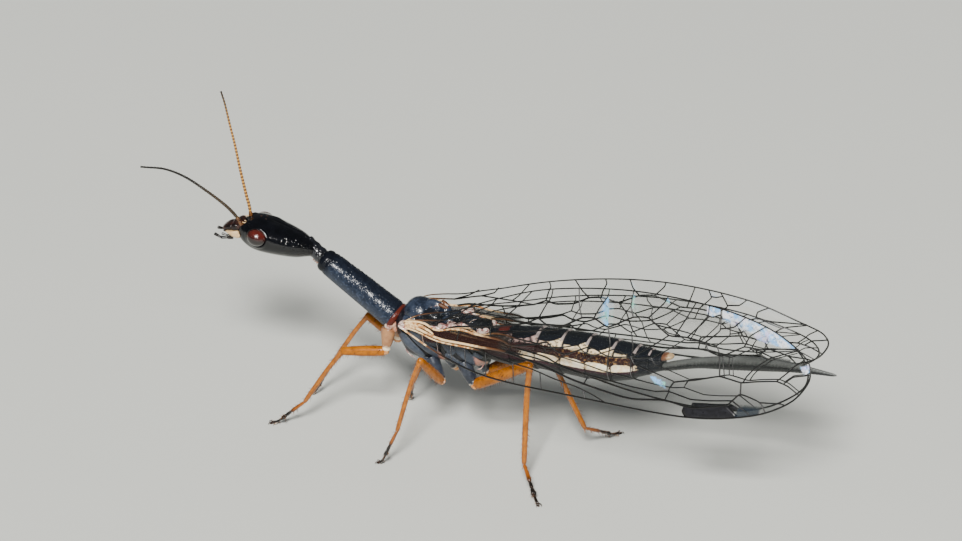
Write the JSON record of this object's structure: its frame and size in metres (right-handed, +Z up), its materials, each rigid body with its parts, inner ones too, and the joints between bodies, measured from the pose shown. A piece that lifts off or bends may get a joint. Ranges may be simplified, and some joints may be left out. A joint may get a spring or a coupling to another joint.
{
  "type": "snakefly",
  "caption": "Female snakefly standing with its wings folded like a roof, its head raised on a long neck-like prothorax and a long egg-laying tube behind; a still, life-size model.",
  "frame": {"origin": "on the ground at the middle of the animal's bounding box", "axes": "+X runs back from the head to the tip of the egg-laying tube, +Y to the animal's right, +Z up"},
  "size_m": [0.0144, 0.004, 0.0066],
  "materials": {
    "black_cuticle": "glossy, finely pitted",
    "slate_cuticle": "satin, granular",
    "abdomen": "satin, dark plates with cream bands",
    "brown_cuticle": "glossy",
    "cream_cuticle": "satin",
    "eye": "glossy, finely faceted",
    "coxa": "satin",
    "orange_leg": "satin, hairy",
    "dark_foot": "matt",
    "feeler": "matt",
    "tan_cuticle": "satin",
    "grey_cuticle": "satin",
    "wing": "clear membrane with dark veins"
  },
  "bodies": {
    "root": {"abdomen": "abdomen", "antenna_left_flagellum_inner": "feeler", "antenna_left_flagellum_outer": "feeler", "antenna_left_scape": "feeler", "antenna_right_flagellum_inner": "feeler", "antenna_right_flagellum_outer": "feeler", "antenna_right_scape": "feeler", "coxa_front_left": "coxa", "coxa_front_right": "coxa", "coxa_hind_left": "coxa", "coxa_hind_right": "coxa", "coxa_mid_left": "coxa", "coxa_mid_right": "coxa", "ectoproct": "tan_cuticle", "eye_left": "eye", "eye_right": "eye", "femur_front_left": "orange_leg", "femur_front_right": "orange_leg", "femur_hind_left": "orange_leg", "femur_hind_right": "orange_leg", "femur_mid_left": "orange_leg", "femur_mid_right": "orange_leg", "forewing_left": "wing", "forewing_right": "wing", "head": "black_cuticle", "hindwing_left": "wing", "hindwing_right": "wing", "mandible_left": "cream_cuticle", "mandible_right": "cream_cuticle", "mesothorax": "slate_cuticle", "metathorax": "slate_cuticle", "mouth": "brown_cuticle", "neck": "black_cuticle", "ovipositor": "grey_cuticle", "palp_left": "black_cuticle", "palp_right": "black_cuticle", "prothorax": "slate_cuticle", "tarsus_front_left": "dark_foot", "tarsus_front_right": "dark_foot", "tarsus_hind_left": "dark_foot", "tarsus_hind_right": "dark_foot", "tarsus_mid_left": "dark_foot", "tarsus_mid_right": "dark_foot", "tibia_front_left": "orange_leg", "tibia_front_right": "orange_leg", "tibia_hind_left": "orange_leg", "tibia_hind_right": "orange_leg", "tibia_mid_left": "orange_leg", "tibia_mid_right": "orange_leg"}
  },
  "joints": []
}
